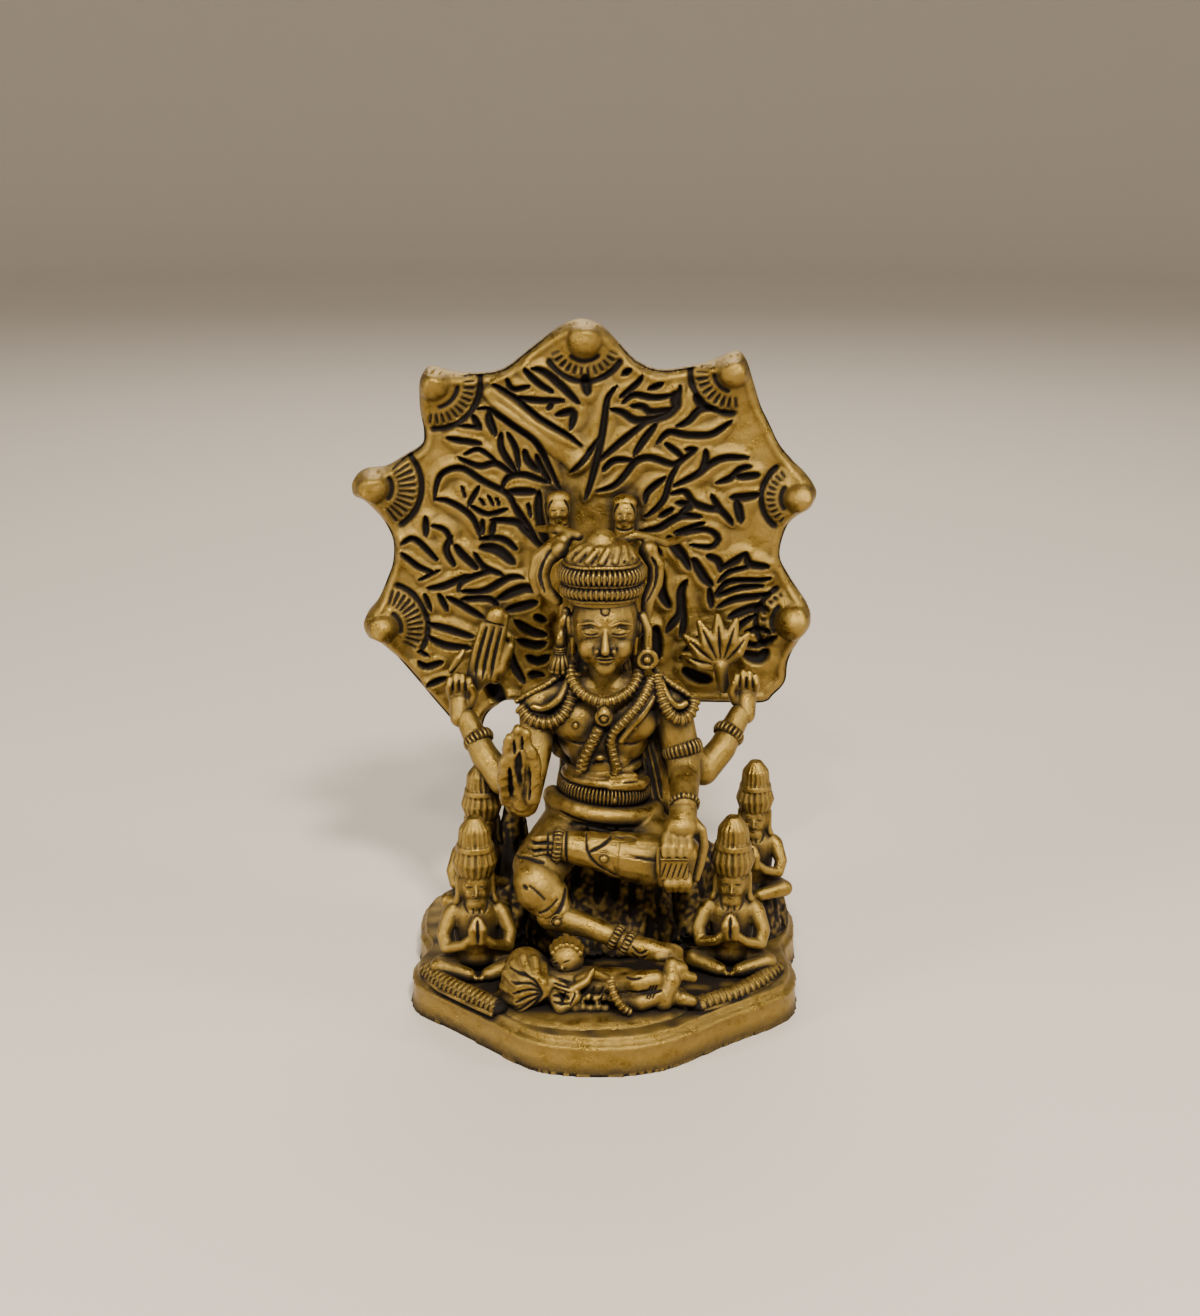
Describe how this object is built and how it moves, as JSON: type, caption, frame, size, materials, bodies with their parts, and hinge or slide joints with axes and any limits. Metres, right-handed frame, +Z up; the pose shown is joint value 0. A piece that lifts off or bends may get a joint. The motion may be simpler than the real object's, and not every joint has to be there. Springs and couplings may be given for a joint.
{
  "type": "hindu deity statue",
  "caption": "Cast brass statuette of a seated teaching deity under a leafy, knobbed back plate, with kneeling sages and a reclining dwarf on a lobed base.",
  "frame": {"origin": "centre of the bounding box on the underside of the base, where the statue rests", "axes": "+X is the viewer's right when facing the statue, +Y runs from the front of the base to the back plate, +Z is up"},
  "size_m": [0.0814, 0.062, 0.1143],
  "materials": {
    "base_brass": "cast brass with a dark antique patina in the hollows, satin on the edge",
    "plate_brass": "cast brass, flat areas rubbed bright, chased grooves blackened",
    "figure_brass": "cast brass, high points polished, hollows blackened",
    "ornament_brass": "cast brass, ribs rubbed bright over dark grooves",
    "attendant_brass": "cast brass, high points polished, hollows blackened"
  },
  "bodies": {
    "root": {"base_slab": "base_brass", "base_step": "base_brass", "rope_borders": "base_brass", "rock_seat": "base_brass", "left_rock_ledge": "base_brass", "right_rock_ledge": "base_brass", "tree_trunk": "plate_brass", "back_plate": "plate_brass", "plate_knobs": "plate_brass", "knob_collars": "plate_brass", "tree_branches": "plate_brass", "tree_leaves": "plate_brass", "tree_bird": "plate_brass", "left_tree_head": "plate_brass", "right_tree_head": "plate_brass", "torso": "figure_brass", "head": "figure_brass", "crown": "ornament_brass", "tiara": "ornament_brass", "crown_knob": "ornament_brass", "rear_hair": "figure_brass", "hair_loops": "ornament_brass", "ear_drop": "ornament_brass", "ear_ring": "ornament_brass", "necklace": "ornament_brass", "pendant": "ornament_brass", "sacred_thread": "ornament_brass", "chest_band": "ornament_brass", "shoulder_loops": "ornament_brass", "belt": "ornament_brass", "waist_cloth": "figure_brass", "crossed_leg": "figure_brass", "crossed_foot": "figure_brass", "hanging_leg": "figure_brass", "hanging_foot": "figure_brass", "anklets": "ornament_brass", "right_front_arm": "figure_brass", "teaching_hand": "figure_brass", "left_front_arm": "figure_brass", "resting_hand": "figure_brass", "leaf_book": "ornament_brass", "right_rear_arm": "figure_brass", "right_rear_hand": "figure_brass", "tall_flame": "ornament_brass", "left_rear_arm": "figure_brass", "left_rear_hand": "figure_brass", "fan_flame": "ornament_brass", "armlets": "ornament_brass", "dwarf_plinth": "base_brass", "dwarf_body": "attendant_brass", "dwarf_head": "attendant_brass", "dwarf_hair": "attendant_brass", "dwarf_limbs": "attendant_brass", "dwarf_snake": "attendant_brass", "left_front_sage": "attendant_brass", "left_rear_sage": "attendant_brass", "right_front_sage": "attendant_brass", "right_rear_sage": "attendant_brass"}
  },
  "joints": []
}
